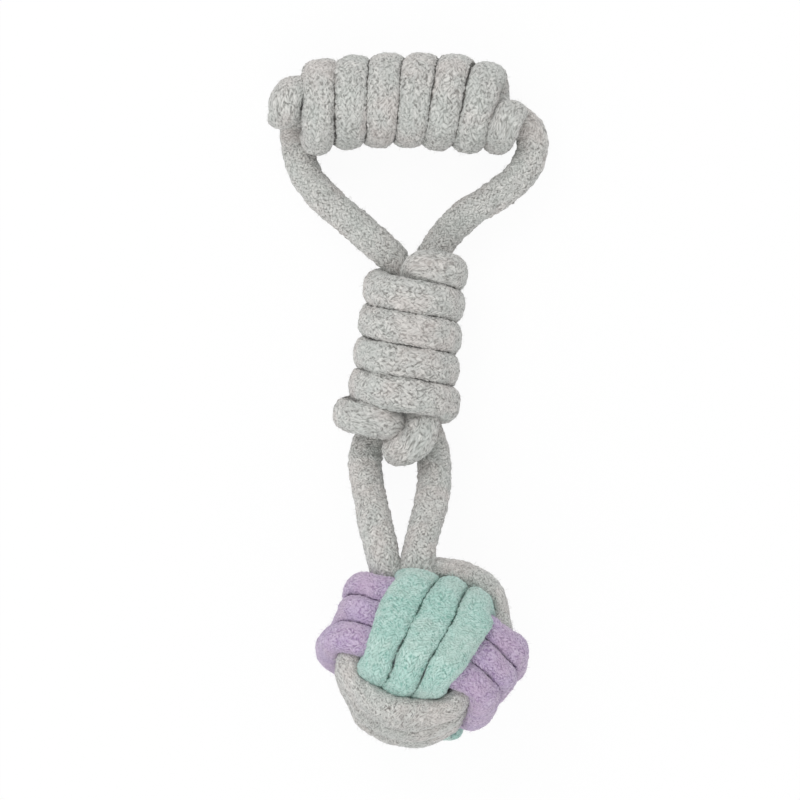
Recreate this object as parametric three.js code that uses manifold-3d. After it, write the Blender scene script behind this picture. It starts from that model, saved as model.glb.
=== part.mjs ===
import * as THREE from "three";
import { mergeVertices } from "three/addons/utils/BufferGeometryUtils.js";
import Module from "manifold-3d";

// A tug toy of braided cotton rope: a wound grip, a barrel knot and a woven ball, joined by
// pairs of free rope. It lies on its back with the grip towards +Y. Millimetres, +Z up.

const wasm = await Module();
wasm.setup();

// Driving dimensions, shared by all the rope
const rope = 13.2; // diameter where nothing squeezes it
const clearance = 0.3; // between pieces that touch
const pressedFlat = 0.1 * rope; // how deep the rope is flattened where the toy lies on it
const squeezedTurn = 12.1; // across a turn that its neighbours squeeze, along the winding's axis

// The grip: turns of rope round a straight strand that lies along X
const grip = {
  middle: new THREE.Vector2(-3.5, 119.6), // halfway between its two middle turns
  bow: 210, // radius of the curve that its axis follows, highest in the middle
  pitch: 12.7,
  fullTurns: 6,
  thickness: 12.2, // of the rope, measured out from the core
  coreInset: 0.25, // turns by which the core is shorter than the winding
  slowShare: 0.5, // of the pitch, where the rope doubles back at either end
  lump: {
    start: -0.25, // turn at which it comes up from behind
    leave: 0.2, // turn at which the rope begins to wind
    join: 0.62, // and by which it lies on the core
    thickness: 9.2, // the rope is pinched where it doubles back at the left end
    bend: 5.1,
    rise: 8.2, // of its middle over the grip's axis, to lie in front of the leg
    shift: 4, // of its middle away from the toy
    overhang: 1.4, // to the left of where the next turn would be
    tail: 10.6,
  },
  tuck: {
    leave: 0.74, // turns past the last full one at which it leaves the core
    slow: 0.9, // and those at which it stops advancing,
    join: 1, // is tucked in,
    end: 1.25, // and goes down behind
    thickness: 9.5, // the last turn, tucked in at the right end
    bend: 5.6,
    rise: 9.6,
    drop: 6.2, // of its middle towards the toy
    tail: 2.6,
  },
};

// The barrel knot: turns of rope round three strands, down an axis that leans in plan
const knot = {
  firstTurn: new THREE.Vector2(2.4, 40.9), // the first whole turn where it crosses the front
  lean: 6.5, // degrees, of its axis
  rowLean: 1.4, // degrees, of what runs across it
  pitch: 12.9,
  thickness: 12.4,
  halfWidth: 14.6, // to the middle of the rope, across
  widening: 0.45, // of that, each turn after the first
  halfDepth: 18.8, // and from front to back
  lastTurn: 4.86, // where the rope leaves the coil, counted from the first crossing
  lastHalfWidth: 20.4, // of the loose last turn
  loosening: [0.86, 0.1], // turns before the end between which it widens to that
  bend: 6.8,
  tailLength: 11.5,
  headTurn: 0.12, // where its head has joined the coil, on the same count
  strandHalf: new THREE.Vector2(5.4, 3.6), // that strand, squeezed
  coreHalf: new THREE.Vector2(3.6, 5.6), // each of the two strands behind it, squeezed
  coreMiddle: new THREE.Vector2(4.1, -2.8),
  coreTurns: [-0.42, 3.53], // where they end, in turns from the first whole one
};

// The ball: three bands of three turns, each over one of the others and under the next
const ball = {
  middle: new THREE.Vector2(5.9, -100.1),
  lane: 14.4, // from one strand of a band to the next
  width: 13,
  thickness: 9.4,
  corner: 9.2, // to the middle of the rope, where a strand turns from one face to the next
  turns: 3,
  endLength: 12, // of straight rope past the corner, at each end of a band
  roundness: 0.65, // 0 leaves the weave a cube, 1 makes it a sphere
  squeeze: 0.907, // its length along the toy, as a share of its width
  turn: 67, // degrees in plan, from +X to the front strands
  tip: new THREE.Vector2(1.8, 11.8), // of the front face's middle, sideways and up the toy
};

// Points down the middle of each free stretch of rope, from the knot outwards
const upperLegLeft = [
  [-2.5, 51.5, 21.4],
  [-5.2, 55.6, 21.4],
  [-10.8, 60.8, 21.6],
  [-18.7, 68.2, 21.4],
  [-31.2, 78.6, 17.6],
  [-39.2, 87.8, 13],
  [-42.6, 95.6, 9.6],
  [-44, 103, 7.9],
  [-44.8, 109.6, 8.6],
  [-43.8, 114.2, 12],
  [-40.6, 115.8, 16.2],
];
const upperLegRight = [
  [7.4, 52.6, 14.2],
  [10.6, 59, 14.6],
  [15.4, 66.4, 15.6],
  [24.6, 75.2, 17],
  [35.4, 82.6, 17.8],
  [43.6, 89.2, 17.8],
  [48.4, 97, 17.8],
  [49.4, 105.6, 17.8],
  [46.4, 112.2, 17.8],
  [41.4, 114.8, 17.8],
  [36.2, 115.4, 17.8],
];
const lowerLegLeft = [
  [-8.4, -7.4, 17.6],
  [-12.4, -12.2, 17.2],
  [-15.6, -18, 17.6],
  [-16.8, -25, 19.8],
  [-16.1, -33, 24.2],
  [-14.6, -41, 30],
  [-12.6, -50, 37],
  [-10.6, -58, 43],
  [-9.2, -66, 48.6],
  [-8.6, -72, 52.6],
];
const lowerLegRight = [
  [4.6, -8, 17.6],
  [7, -13, 17.2],
  [9.4, -19, 17.8],
  [10.6, -26, 20.4],
  [10.5, -34, 25],
  [9.2, -42, 31],
  [7, -50, 37.6],
  [4.4, -58, 44.4],
  [3.4, -66, 50.8],
  [3.4, -72, 54.6],
];

// Across, along and forward from the knot's axis, as shares of the coil's half width, its pitch
// and its half depth. The coil's head comes up through the coil and over its first turn.
const headShares = [
  [0, 0.767, 0.399],
  [0, 0.194, 0.399],
  [0, -0.388, 0.399],
  [0.027, -0.806, 0.553],
  [0.233, -1.008, 0.819],
];

// The coil's tail goes back down through the coil and comes out below as a bight
const bightShares = [
  [0, 0.837, 0.399],
  [0, 1.86, 0.399],
  [0, 2.791, 0.399],
  [0.247, 3.178, 0.351],
  [0.548, 3.535, 0.34],
  [0.699, 3.907, 0.447],
  [0.712, 4.248, 0.585],
  [0.589, 4.543, 0.617],
  [0.342, 4.713, 0.479],
  [0.11, 4.713, 0.245],
];

// Counts: a loop of rope has six sides and 24 steps, a free stretch ten sides
const stepsPerTurn = 24;
const legSides = 10;
const legSteps = 18;
const coreSides = 10;
const coreSteps = 12;
const cornerSteps = 4;

// A six-sided section, as shares of half its width and half its thickness
const sectionShares = [
  [1, 0],
  [0.5, 1],
  [-0.5, 1],
  [-1, 0],
  [-0.5, -1],
  [0.5, -1],
];

// An oval section with more sides, for strands that don't wind
const ovalShares = Array.from({ length: coreSides }, (_, i) => {
  const angle = (2 * Math.PI * i) / coreSides;
  return [Math.cos(angle), Math.sin(angle)];
});

// Along the head and the bight: where each leaves the bore, and how far its section turns
const headFreeShare = 0.4;
const headTurnedShare = 0.9;
const bightFreeShares = [0.35, 0.62];
const bightTurnShare = 0.4;

// Where points lie between two rings, for measuring gaps
const betweenShares = [0.25, 0.5, 0.75];

const up = new THREE.Vector3(0, 0, 1);

function lerp(a, b, share) {
  return a + (b - a) * share;
}

function smooth(from, to, value) {
  return THREE.MathUtils.smoothstep(value, from, to);
}

// A tube through rings { at, across, half: [width, thickness] }, closed at both ends
function tube(rings, shares, grow = 0) {
  const count = shares.length;
  const points = ringCorners(rings, shares, grow).flat();
  const index = [];
  for (let ring = 0; ring + 1 < rings.length; ring++) {
    for (let side = 0; side < count; side++) {
      const a = ring * count + side;
      const b = ring * count + ((side + 1) % count);
      index.push(a, b, b + count, a, b + count, a + count);
    }
  }
  const last = (rings.length - 1) * count;
  for (let side = 1; side + 1 < count; side++) {
    index.push(0, side + 1, side, last, last + side, last + side + 1);
  }
  const geometry = new THREE.BufferGeometry().setFromPoints(points);
  geometry.setIndex(index);
  return facingOut(geometry);
}

function ringCorners(rings, shares, grow) {
  return rings.map((ring, i) => {
    const before = rings[Math.max(i - 1, 0)].at;
    const after = rings[Math.min(i + 1, rings.length - 1)].at;
    const along = after.clone().sub(before).normalize();
    const across = ring.across.clone().addScaledVector(along, -along.dot(ring.across)).normalize();
    const out = along.clone().cross(across);
    const overrun = i === 0 ? -grow : i === rings.length - 1 ? grow : 0;
    const at = ring.at.clone().addScaledVector(along, overrun);
    return shares.map(([wide, thick]) =>
      at
        .clone()
        .addScaledVector(across, wide * (ring.half[0] + grow))
        .addScaledVector(out, thick * (ring.half[1] + grow)),
    );
  });
}

// Turns the faces round if they point inwards
function facingOut(geometry) {
  const index = geometry.index.array;
  const place = geometry.getAttribute("position");
  const [a, b, c] = [new THREE.Vector3(), new THREE.Vector3(), new THREE.Vector3()];
  let volume = 0;
  for (let i = 0; i < index.length; i += 3) {
    a.fromBufferAttribute(place, index[i]);
    b.fromBufferAttribute(place, index[i + 1]);
    c.fromBufferAttribute(place, index[i + 2]);
    volume += a.dot(b.cross(c));
  }
  if (volume < 0) {
    const turned = Array.from(index);
    for (let i = 0; i < turned.length; i += 3) {
      [turned[i + 1], turned[i + 2]] = [turned[i + 2], turned[i + 1]];
    }
    geometry.setIndex(turned);
  }
  return geometry;
}

// The geometry with each of its points where the map takes it
function moved(geometry, map) {
  const place = geometry.getAttribute("position");
  for (let i = 0; i < place.count; i++) {
    place.setXYZ(i, ...map(new THREE.Vector3().fromBufferAttribute(place, i)));
  }
  return facingOut(geometry);
}

function toSolid(geometry) {
  const bare = geometry.clone();
  bare.deleteAttribute("normal");
  bare.deleteAttribute("uv");
  const merged = mergeVertices(bare, 1e-4);
  return new wasm.Manifold(
    new wasm.Mesh({
      numProp: 3,
      vertProperties: new Float32Array(merged.getAttribute("position").array),
      triVerts: new Uint32Array(merged.index.array),
    }),
  );
}

function toGeometry(solid) {
  const mesh = solid.getMesh();
  const geometry = new THREE.BufferGeometry();
  const corners = new THREE.Float32BufferAttribute(mesh.vertProperties, 3);
  geometry.setAttribute("position", corners);
  geometry.setIndex(Array.from(mesh.triVerts));
  return geometry;
}

// The piece without what its neighbours take up; crumbs that are cut off it are left out
function carve(geometry, neighbours) {
  let solid = toSolid(geometry);
  for (const neighbour of neighbours) {
    solid = solid.subtract(toSolid(neighbour));
  }
  const parts = solid.decompose();
  parts.sort((a, b) => b.volume() - a.volume());
  return toGeometry(parts[0]);
}

// The piece, pressed flat where it lies on the ground
function pressed(geometry) {
  geometry.computeBoundingBox();
  const { min, max } = geometry.boundingBox;
  const wide = max.x - min.x + rope;
  const long = max.y - min.y + rope;
  const ground = new THREE.BoxGeometry(wide, long, rope);
  ground.translate((min.x + max.x) / 2, (min.y + max.y) / 2, -rope / 2);
  return carve(geometry, [ground]);
}

// The least distance between surface points half a turn or more apart, from the rings' corners
function leastGap(rings) {
  const cloud = rings.map((ring, i) => {
    const next = rings[Math.min(i + 1, rings.length - 1)];
    return ring.flatMap((corner, side) => {
      const beside = ring[(side + 1) % ring.length];
      const along = betweenShares.map((share) => corner.clone().lerp(next[side], share));
      return [corner, corner.clone().lerp(beside, 0.5), ...along];
    });
  });
  let least = Infinity;
  for (let i = 0; i < cloud.length; i++) {
    for (let j = i + stepsPerTurn / 2; j < cloud.length; j++) {
      if (rings[i][0].distanceTo(rings[j][0]) > 2 * rope) {
        continue;
      }
      for (const a of cloud[i]) {
        for (const b of cloud[j]) {
          least = Math.min(least, a.distanceTo(b));
        }
      }
    }
  }
  return least;
}

// Rings that leave a point in one direction, bend to another and run on straight
function bendInto(from, heading, target, bend, straight, steps, across, half) {
  const angle = heading.angleTo(target);
  const axis = heading.clone().cross(target).normalize();
  const centre = from.clone().addScaledVector(axis.clone().cross(heading), bend);
  const rings = [];
  for (let i = 1; i <= steps; i++) {
    const turned = (angle * i) / steps;
    const at = from.clone().sub(centre).applyAxisAngle(axis, turned).add(centre);
    rings.push({ at, across, half });
  }
  const end = rings[rings.length - 1].at.clone();
  rings.push({ at: end.addScaledVector(target, straight), across, half });
  return rings;
}

// Grip
const gripRadius = rope / 2 + clearance + grip.thickness / 2;
const gripHeight = gripRadius + grip.thickness / 2 - pressedFlat;
const gripMiddle = new THREE.Vector3(grip.middle.x, grip.middle.y, gripHeight);
const coreLength = grip.pitch * (grip.fullTurns - grip.coreInset);

// Bends what lies along the grip's straight axis to its bow
function bowed(point) {
  const angle = (point.x - gripMiddle.x) / grip.bow;
  const reach = grip.bow + point.y - gripMiddle.y;
  return new THREE.Vector3(
    gripMiddle.x + reach * Math.sin(angle),
    gripMiddle.y - grip.bow + reach * Math.cos(angle),
    point.z,
  );
}

// Turn 1 is the first whole one from the left; each crosses the front at a whole number
function gripRing(turn) {
  const { lump, tuck } = grip;
  const past = turn - grip.fullTurns;
  const intoLump = 1 - smooth(lump.leave, lump.join, turn);
  const intoTuck = smooth(tuck.leave, tuck.join, past);
  const bend = lerp(lerp(gripRadius, lump.bend, intoLump), tuck.bend, intoTuck);
  const thick = lerp(lerp(grip.thickness, lump.thickness, intoLump), tuck.thickness, intoTuck);
  const middle = gripMiddle.clone();
  const halfway = (grip.fullTurns + 1) / 2;
  const slowTurns = Math.max(0, lump.leave - turn) - Math.max(0, past - tuck.slow);
  const paced = turn + (1 - grip.slowShare) * slowTurns;
  middle.x += grip.pitch * (paced - halfway) - lump.overhang * intoLump;
  middle.y += lump.shift * intoLump - tuck.drop * intoTuck;
  middle.z += lump.rise * intoLump + tuck.rise * intoTuck;
  const angle = 2 * Math.PI * turn;
  return {
    at: middle.add(new THREE.Vector3(0, bend * Math.sin(angle), bend * Math.cos(angle))),
    across: new THREE.Vector3(1, 0, 0),
    half: [squeezedTurn / 2, thick / 2],
  };
}

function gripRings() {
  const firstTurn = grip.lump.start;
  const lastTurn = grip.fullTurns + grip.tuck.end;
  const first = gripRing(firstTurn);
  const last = gripRing(lastTurn);
  const tailStart = { ...first, at: first.at.clone().addScaledVector(up, -grip.lump.tail) };
  const tailEnd = { ...last, at: last.at.clone().addScaledVector(up, -grip.tuck.tail) };
  const steps = Math.round((lastTurn - firstTurn) * stepsPerTurn);
  const rings = [tailStart];
  for (let i = 0; i <= steps; i++) {
    rings.push(gripRing(firstTurn + i / stepsPerTurn));
  }
  rings.push(tailEnd);
  return rings;
}

function gripCore(grow = 0) {
  const radius = rope / 2 + grow;
  const core = new THREE.CylinderGeometry(radius, radius, coreLength + 2 * grow, coreSides, coreSteps);
  core.rotateZ(Math.PI / 2);
  core.translate(gripMiddle.x + grip.pitch * grip.coreInset, gripMiddle.y, gripMiddle.z);
  return moved(core, bowed);
}

// Knot
const knotHeight = knot.halfDepth + knot.thickness / 2 - pressedFlat;
const knotLean = THREE.MathUtils.degToRad(knot.lean);
const rowLean = THREE.MathUtils.degToRad(knot.rowLean);
const knotAcross = new THREE.Vector3(Math.cos(rowLean), -Math.sin(rowLean), 0);
const knotAlong = new THREE.Vector3(-Math.sin(knotLean), -Math.cos(knotLean), 0);

function inKnot(across, along, forward) {
  return new THREE.Vector3(knot.firstTurn.x, knot.firstTurn.y, knotHeight + forward)
    .addScaledVector(knotAcross, across)
    .addScaledVector(knotAlong, along);
}

// Turn 1 is the first whole one from the top; each crosses the front at a whole number
function knotRing(turn) {
  const [widens, widened] = knot.loosening.map((before) => knot.lastTurn - before);
  const loose = smooth(widens, widened, turn);
  const angle = 2 * Math.PI * turn;
  const halfWidth = knot.halfWidth + knot.widening * Math.max(0, turn - 1);
  const across = lerp(halfWidth, knot.lastHalfWidth, loose) * Math.sin(angle);
  const along = knot.pitch * (turn - 1);
  return {
    at: inKnot(across, along, knot.halfDepth * Math.cos(angle)),
    across: knotAlong,
    half: [squeezedTurn / 2, knot.thickness / 2],
  };
}

function alongKnot(shares) {
  return shares.map(([across, along, forward]) =>
    inKnot(across * knot.halfWidth, along * knot.pitch, forward * knot.halfDepth),
  );
}

// Up out of the coil's bore and over into its first ring
function headRings() {
  const coilStart = [0, 1].map((i) => knotRing(knot.headTurn + i / stepsPerTurn).at);
  const points = [...alongKnot(headShares), ...coilStart];
  const line = new THREE.CatmullRomCurve3(points, false, "centripetal");
  const steps = cornerSteps * headShares.length;
  return Array.from({ length: steps }, (_, i) => {
    const share = i / steps;
    const free = smooth(headFreeShare, 1, share);
    return {
      at: line.getPoint((share * headShares.length) / (headShares.length + 1)),
      across: knotAcross.clone().lerp(knotAlong, smooth(headFreeShare, headTurnedShare, share)),
      half: [
        lerp(knot.strandHalf.x, squeezedTurn / 2, free),
        lerp(knot.strandHalf.y, knot.thickness / 2, free),
      ],
    };
  });
}

function knotRings() {
  const rings = headRings();
  const steps = Math.round((knot.lastTurn - knot.headTurn) * stepsPerTurn);
  for (let i = 0; i <= steps; i++) {
    rings.push(knotRing(knot.headTurn + i / stepsPerTurn));
  }
  const end = rings[rings.length - 1];
  const heading = end.at.clone().sub(rings[rings.length - 2].at).normalize();
  const into = up.clone().negate();
  const { bend, tailLength } = knot;
  return rings.concat(
    bendInto(end.at, heading, into, bend, tailLength, 2 * cornerSteps, end.across, end.half),
  );
}

function knotCore(side, grow = 0) {
  const rings = knot.coreTurns.map((turns) => ({
    at: inKnot(side * knot.coreMiddle.x, turns * knot.pitch, knot.coreMiddle.y),
    across: knotAcross,
    half: knot.coreHalf.toArray(),
  }));
  return tube(rings, ovalShares, grow);
}

function bightRings() {
  const line = new THREE.CatmullRomCurve3(alongKnot(bightShares), false, "centripetal");
  const steps = 2 * legSteps;
  const [leaves, left] = bightFreeShares;
  return Array.from({ length: steps + 1 }, (_, i) => {
    const share = i / steps;
    const free = smooth(leaves, left, share);
    const turned = bightTurnShare * smooth(left, 1, share);
    return {
      at: line.getPointAt(share),
      across: knotAcross.clone().lerp(knotAlong, turned),
      half: knot.strandHalf.toArray().map((half) => lerp(half, rope / 2 - clearance, free)),
    };
  });
}

// A free stretch of round rope through its points
function leg(points, grow = 0) {
  const radius = rope / 2 + grow;
  const section = new THREE.Shape(
    Array.from({ length: legSides }, (_, i) => {
      const angle = (2 * Math.PI * (i + 0.5)) / legSides;
      return new THREE.Vector2(radius * Math.cos(angle), radius * Math.sin(angle));
    }),
  );
  const line = new THREE.CatmullRomCurve3(
    points.map((point) => new THREE.Vector3(...point)),
    false,
    "centripetal",
  );
  return new THREE.ExtrudeGeometry(section, { extrudePath: line, steps: legSteps });
}

// Ball: its own axes are the front strands' direction, the one across them, and the front
const underRadius = ball.lane + ball.width / 2 + clearance + ball.thickness / 2;
const overRadius = underRadius + ball.thickness + clearance;
const ballRadius = overRadius + ball.thickness / 2;
const ballFrame = ballAxes();

function ballAxes() {
  const turn = THREE.MathUtils.degToRad(ball.turn);
  const depth = Math.sqrt(overRadius ** 2 - ball.tip.lengthSq());
  const front = new THREE.Vector3(ball.tip.x, ball.tip.y, depth).normalize();
  const strands = new THREE.Vector3(Math.cos(turn), Math.sin(turn), 0);
  strands.addScaledVector(front, -front.dot(strands)).normalize();
  return [strands, strands.clone().cross(front), front];
}

// The band's line as rings in the ball's own axes: over runs out furthest along its axis
function bandRings(over, under, lane) {
  const corners = [];
  const quarter = Math.PI / 2;
  const rings = [];
  const add = (high, low, offset) => {
    const at = new THREE.Vector3();
    at.setComponent(over, high);
    at.setComponent(under, low);
    at.setComponent(lane, offset);
    const across = new THREE.Vector3().setComponent(lane, 1);
    rings.push({ at, across, half: [ball.width / 2, ball.thickness / 2] });
  };
  const cornerAt = (highSign, lowSign, start, offset) => {
    for (let i = 0; i <= cornerSteps; i++) {
      const angle = start - (quarter * i) / cornerSteps;
      add(
        highSign * (overRadius - ball.corner) + ball.corner * Math.sin(angle),
        lowSign * (underRadius - ball.corner) + ball.corner * Math.cos(angle),
        offset,
      );
    }
  };
  const edge = overRadius - ball.corner;
  for (let turn = 0; turn < ball.turns; turn++) {
    const offset = ball.lane * (turn - (ball.turns - 1) / 2);
    if (turn === 0) {
      add(edge - ball.endLength, -underRadius, offset);
    }
    // up the near side, over the top, down the far side and back below
    cornerAt(1, -1, 2 * quarter, offset);
    add(overRadius, 0, offset);
    cornerAt(1, 1, quarter, offset);
    add(0, underRadius, offset);
    cornerAt(-1, 1, 0, offset);
    add(-overRadius, 0, offset);
    cornerAt(-1, -1, -quarter, offset);
    if (turn + 1 < ball.turns) {
      add(0, -underRadius, offset + ball.lane / 2);
    } else {
      add(-edge + ball.endLength, -underRadius, offset);
    }
  }
  return rings;
}

// Rounds the woven cube towards a sphere, then turns it to its place
function rounded(point) {
  const { x, y, z } = point;
  const side = ballRadius ** 2;
  const pull = (a, b) => {
    const [near, far] = [(a * a) / side, (b * b) / side];
    return Math.sqrt(1 - ball.roundness * ((near + far) / 2 - (near * far) / 3));
  };
  return new THREE.Vector3(x * pull(y, z), y * pull(z, x), z * pull(x, y));
}

// From the weave's own axes to the toy, as if the ball's middle were on the ground
function inBall(point) {
  const turned = rounded(point).applyMatrix4(new THREE.Matrix4().makeBasis(...ballFrame));
  turned.y *= ball.squeeze;
  return turned.add(new THREE.Vector3(ball.middle.x, ball.middle.y, 0));
}

function placedBall(geometry, height) {
  return moved(geometry, inBall).translate(0, 0, height);
}

const bands = {
  mint: bandRings(2, 0, 1),
  purple: bandRings(1, 2, 0),
  grey: bandRings(0, 1, 2),
};

function lowestPoint(geometry) {
  geometry.computeBoundingBox();
  return geometry.boundingBox.min.z;
}

const ballHeight =
  -pressedFlat -
  Math.min(...Object.values(bands).map((rings) => lowestPoint(placedBall(tube(rings, sectionShares), 0))));

function band(name, grow = 0) {
  return placedBall(tube(bands[name], sectionShares, grow), ballHeight);
}

function ballCore() {
  const radius = underRadius - ball.thickness / 2 - 2 * clearance;
  const core = new THREE.IcosahedronGeometry(radius, 3);
  core.scale(1, ball.squeeze, 1);
  return core.translate(ball.middle.x, ball.middle.y, ballHeight);
}

// Colours of the real rope
const heatherGrey = new THREE.MeshStandardMaterial({ color: 0xbdbdb8, roughness: 0.95, metalness: 0 });
const mint = new THREE.MeshStandardMaterial({ color: 0xa5d3c2, roughness: 0.95, metalness: 0 });
const lilac = new THREE.MeshStandardMaterial({ color: 0xb39ccb, roughness: 0.95, metalness: 0 });
const filling = new THREE.MeshStandardMaterial({ color: 0xd8d4c8, roughness: 1, metalness: 0 });

const toy = new THREE.Group();

function addPiece(name, geometry, material) {
  const mesh = new THREE.Mesh(geometry, material);
  mesh.name = name;
  toy.add(mesh);
}

const winding = gripRings();
const coil = knotRings();
const tail = bightRings();
const gripSpace = moved(tube(winding, sectionShares, clearance), bowed);
const coilSpace = tube(coil, sectionShares, clearance);
const tailSpace = tube(tail, ovalShares, clearance);
const coreSpaces = [-1, 1].map((side) => knotCore(side, clearance));
const bandSpaces = Object.keys(bands).map((name) => band(name, clearance));
const inKnotSpaces = [coilSpace, tailSpace, ...coreSpaces];
const gripSpaces = [gripSpace, gripCore(clearance)];
const upperLeftSpace = leg(upperLegLeft, clearance);
const lowerLeftSpace = leg(lowerLegLeft, clearance);

addPiece("handle_winding", pressed(moved(tube(winding, sectionShares), bowed)), heatherGrey);
addPiece("handle_core", gripCore(), heatherGrey);
addPiece("upper_leg_left", carve(leg(upperLegLeft), [...gripSpaces, ...inKnotSpaces]), heatherGrey);
addPiece(
  "upper_leg_right",
  carve(leg(upperLegRight), [...gripSpaces, ...inKnotSpaces, upperLeftSpace]),
  heatherGrey,
);
addPiece("knot_coil", pressed(tube(coil, sectionShares)), heatherGrey);
addPiece("knot_core_left", knotCore(-1), heatherGrey);
addPiece("knot_core_right", knotCore(1), heatherGrey);
addPiece("knot_bight", carve(tube(tail, ovalShares), [coilSpace, ...coreSpaces]), heatherGrey);
addPiece("lower_leg_left", carve(leg(lowerLegLeft), [...inKnotSpaces, ...bandSpaces]), heatherGrey);
addPiece(
  "lower_leg_right",
  carve(leg(lowerLegRight), [...inKnotSpaces, ...bandSpaces, lowerLeftSpace]),
  heatherGrey,
);
addPiece("ball_band_mint", pressed(band("mint")), mint);
addPiece("ball_band_purple", pressed(band("purple")), lilac);
addPiece("ball_band_grey", pressed(band("grey")), heatherGrey);
addPiece("ball_core", ballCore(), filling);

// The origin is on the ground, under the middle of the toy's outline
const extent = new THREE.Box3().setFromObject(toy);
const outlineMiddle = extent.getCenter(new THREE.Vector3());
toy.position.set(-outlineMiddle.x, -outlineMiddle.y, 0);

function reportGap(name, rings, map) {
  const corners = ringCorners(rings, sectionShares, 0).map((ring) => ring.map(map));
  console.log("gap in the", name, leastGap(corners).toFixed(3));
}

reportGap("grip", winding, bowed);
reportGap("knot", coil, (point) => point);
for (const [name, rings] of Object.entries(bands)) {
  reportGap(`ball's ${name} band`, rings, inBall);
}

export default toy;
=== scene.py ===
import math

import bmesh
import bpy
import numpy as np
from mathutils import Matrix, Vector


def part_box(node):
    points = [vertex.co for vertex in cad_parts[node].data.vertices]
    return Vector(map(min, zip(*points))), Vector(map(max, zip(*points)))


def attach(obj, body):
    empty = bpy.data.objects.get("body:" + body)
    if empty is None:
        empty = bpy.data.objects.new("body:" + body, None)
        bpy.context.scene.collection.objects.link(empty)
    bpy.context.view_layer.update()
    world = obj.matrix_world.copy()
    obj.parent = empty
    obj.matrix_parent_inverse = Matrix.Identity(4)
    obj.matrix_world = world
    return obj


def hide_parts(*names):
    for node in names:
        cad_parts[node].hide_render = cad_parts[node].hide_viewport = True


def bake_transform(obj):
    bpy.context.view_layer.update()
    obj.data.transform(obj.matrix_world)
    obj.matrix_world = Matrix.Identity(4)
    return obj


# A rope dog toy: a wound grip, a barrel knot and a woven ball. It lies on its back on a pale
# floor, seen from straight above. The making works in millimetres and turns to metres at the end.

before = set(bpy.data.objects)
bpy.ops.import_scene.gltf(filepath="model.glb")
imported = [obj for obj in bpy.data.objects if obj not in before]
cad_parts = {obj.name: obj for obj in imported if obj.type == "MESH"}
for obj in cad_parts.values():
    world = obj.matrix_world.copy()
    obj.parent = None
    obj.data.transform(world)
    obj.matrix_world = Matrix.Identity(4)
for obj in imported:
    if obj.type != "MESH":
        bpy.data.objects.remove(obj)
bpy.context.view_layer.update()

MM = 0.001
TINY = 1e-12
BALL = np.array([5.9, -100.1])  # in plan, where the making puts it
ball_middle = np.mean(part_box("ball_core"), axis=0) / MM
BALL_HEIGHT = ball_middle[2]
ORIGIN = np.array([*(ball_middle[:2] - BALL), 0.0])  # from the making's places to the frame's
UP = np.array([0.0, 0.0, 1.0])

# Rope
ROPE = 13.2
TURN_WIDTH = 14.1  # of a turn among others, which press into each other
FLOOR_PRESS = 0.1 * ROPE  # by which what lies on the floor is flattened
FLOOR_GAP = 0.05  # under the lowest stitches
COLUMNS = 22  # of stitches round the rope
SIDES = 3 * COLUMNS
STEP = 0.5  # between the mesh's rings
STITCH = 3.2 * STEP  # from one slanted stitch to the next, along the rope
SLANT = 1.04  # stitches that one leans by, over its column
LIFT = 0.5  # of a stitch over its groove
STITCH_SIZES = (0.45, 1.3)  # the least and the most of LIFT that one has
STITCH_SWELL = 0.7  # the exponent of its swell along the rope; lower is fuller
STITCH_EDGE = 0.6  # of its height, where its column ends
STITCH_SINK = 0.4  # of LIFT, by which the grooves lie under the rope's own size
PRESSED_EXPONENT = 2.4  # of the section where turns press each other; 2 is round
SECTION_POINTS = 4096  # of the fine outline from which a section's even points are taken
SEAM_SHADE_FROM, SEAM_SHADE_FULL = 0.78, 0.93  # of a rope's half width, between which a pressed side takes its painted seam shade
PER_SPAN = 12  # of a spline's points, from one given point to the next

# Slow random changes, each way, and the length of rope over which they come and go
UNEVEN, UNEVEN_LENGTH = 0.034, 9  # a share of the rope's thickness
SWAY, SWAY_LENGTH = 0.18, 6  # of the rope, to each side of its line
ASTRAY, ASTRAY_LENGTH = 0.5, 2.0  # of the stitches, along the rope
ASIDE, ASIDE_LENGTH = 0.38, 2.4  # of the stitches, round the rope, in columns
LUMPS, LUMPS_LENGTH = 0.3, 1.5  # of the skin, in and out
WAVES_AROUND = 16  # random values round the rope

# Loose fibres
FIBRE = 0.09  # across one
FIBRE_LENGTHS = (0.7, 2.4)
FIBRE_RISES = (0.12, 0.75)  # of its tip, as a share of its length
FIBRE_BOW = 0.6  # of that rise, reached halfway along it
FIBRE_CURL = 0.5  # of its tip aside, as a share of its length
FIBRE_ROOT = 0.2  # of it in the rope
FIBRE_EVERY = 16  # points of the skin, to one fibre
FIBRE_MARK = -1.0  # of the fibres, in the attribute that holds the painted seam shade

# Camera: straight above, 0.4 mm to a pixel of the 800 x 800 frame
VIEW_WIDTH = 320.0
VIEW_X = -3.0  # of its middle, in the making's places
CAMERA_HEIGHT = 6000.0
CAMERA_REACH = 20.0  # in metres
SENSOR = 36.0


def ease(share):
    return share * share * (3 - 2 * share)


def smooth(start, end, value):
    """0 up to the start, 1 from the end on, and eased between them."""
    return ease(np.clip((value - start) / (end - start), 0, 1))


def mix(a, b, share):
    return a + (b - a) * share


def unit(vectors):
    return vectors / np.maximum(np.linalg.norm(vectors, axis=-1, keepdims=True), TINY)


def add_object(name, data):
    made = bpy.data.objects.new(name, data)
    bpy.context.scene.collection.objects.link(made)
    return made


# Camera

camera_data = bpy.data.cameras.new("camera")
camera_data.sensor_width = SENSOR
camera_data.lens = SENSOR * CAMERA_HEIGHT / VIEW_WIDTH
camera_data.clip_end = CAMERA_REACH
camera = add_object("camera", camera_data)
camera.location = ((ORIGIN[0] + VIEW_X) * MM, ORIGIN[1] * MM, CAMERA_HEIGHT * MM)
bpy.context.scene.camera = camera

# Lines


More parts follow.
